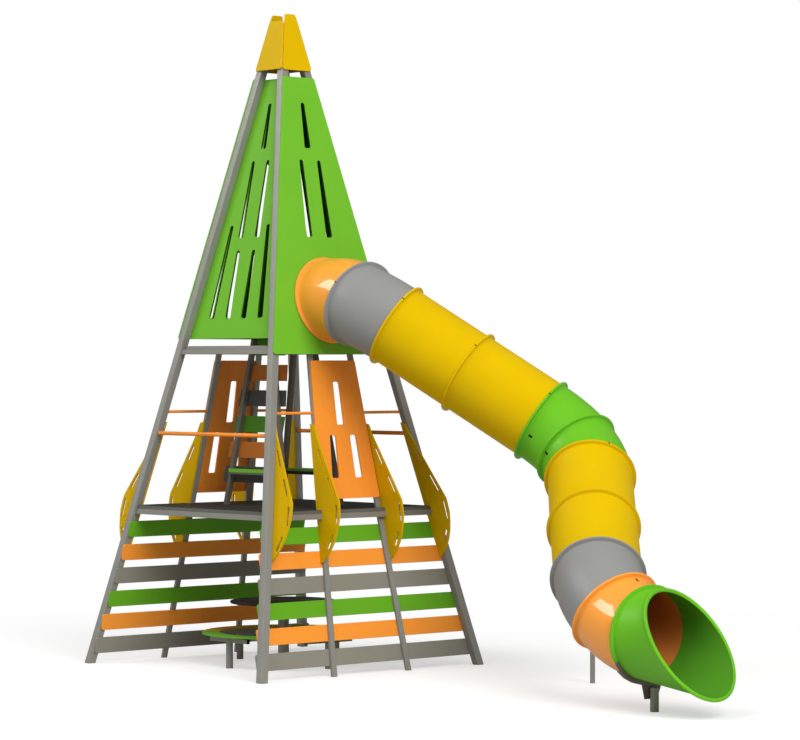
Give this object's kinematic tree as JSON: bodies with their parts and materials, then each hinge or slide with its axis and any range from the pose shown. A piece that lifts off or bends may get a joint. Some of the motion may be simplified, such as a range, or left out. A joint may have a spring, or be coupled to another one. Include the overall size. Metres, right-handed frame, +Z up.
{
  "type": "playground play structure",
  "caption": "Pyramid play tower with slatted walls, platform, high deck and an S-curved tube slide ending in a flared scoop exit.",
  "frame": {"origin": "centre of the whole structure's footprint box, at ground level", "axes": "+Z up; the tube slide leaves the tower towards -Y; +X is right as seen from the slide's exit looking at the tower"},
  "size_m": [2.795, 7.4954, 6.32],
  "materials": {
    "post_grey": "powder-coated steel tube, satin",
    "slat_grey": "solid-coloured panel board, fine matt grain",
    "deck_grey": "anti-slip deck board, matt",
    "steel_dark": "dark grey powder coat",
    "green_panel": "solid-coloured panel board, satin",
    "orange_panel": "solid-coloured panel board, satin",
    "yellow_panel": "solid-coloured panel board, satin",
    "tube_grey": "rotationally moulded plastic, satin",
    "tube_yellow": "rotationally moulded plastic, satin",
    "tube_green": "rotationally moulded plastic, satin",
    "tube_orange": "rotationally moulded plastic, satin"
  },
  "bodies": {
    "root": {"post_front_left": "post_grey", "post_front_right": "post_grey", "post_rear_left": "post_grey", "post_rear_right": "post_grey", "platform": "deck_grey", "upper_deck": "deck_grey", "front_slat_wall": "slat_grey", "rear_slat_wall": "slat_grey", "front_panel": "green_panel", "rear_panel": "green_panel", "left_panel": "green_panel", "right_panel": "green_panel", "cap_front": "yellow_panel", "cap_rear": "yellow_panel", "cap_left": "yellow_panel", "cap_right": "yellow_panel", "front_orange_panel": "orange_panel", "rear_orange_panel": "orange_panel", "front_bar_a": "orange_panel", "front_bar_b": "orange_panel", "rear_bar_a": "orange_panel", "rear_bar_b": "orange_panel", "left_grab_bar": "orange_panel", "right_grab_bar": "orange_panel", "front_wing_1": "yellow_panel", "front_wing_2": "yellow_panel", "front_wing_3": "yellow_panel", "front_wing_4": "yellow_panel", "rear_wing_1": "yellow_panel", "rear_wing_2": "yellow_panel", "rear_wing_3": "yellow_panel", "rear_wing_4": "yellow_panel", "climbing_wall": "post_grey", "climbing_step": "green_panel", "inner_frame": "post_grey", "table_top": "steel_dark", "table_post": "post_grey", "bench_frame": "post_grey", "seat_left": "green_panel", "seat_right": "green_panel", "seat_rear": "yellow_panel", "seat_front": "yellow_panel", "slide_collar": "tube_orange", "slide_grey_bend_top": "tube_grey", "slide_yellow_1": "tube_yellow", "slide_yellow_2": "tube_yellow", "slide_green_bend_1": "tube_green", "slide_green_bend_2": "tube_green", "slide_yellow_3": "tube_yellow", "slide_yellow_4": "tube_yellow", "slide_grey_bend_low": "tube_grey", "slide_orange_bend": "tube_orange", "slide_exit": "tube_green", "slide_leg_middle": "post_grey", "slide_leg_exit": "post_grey", "slide_saddle": "steel_dark"}
  },
  "joints": []
}
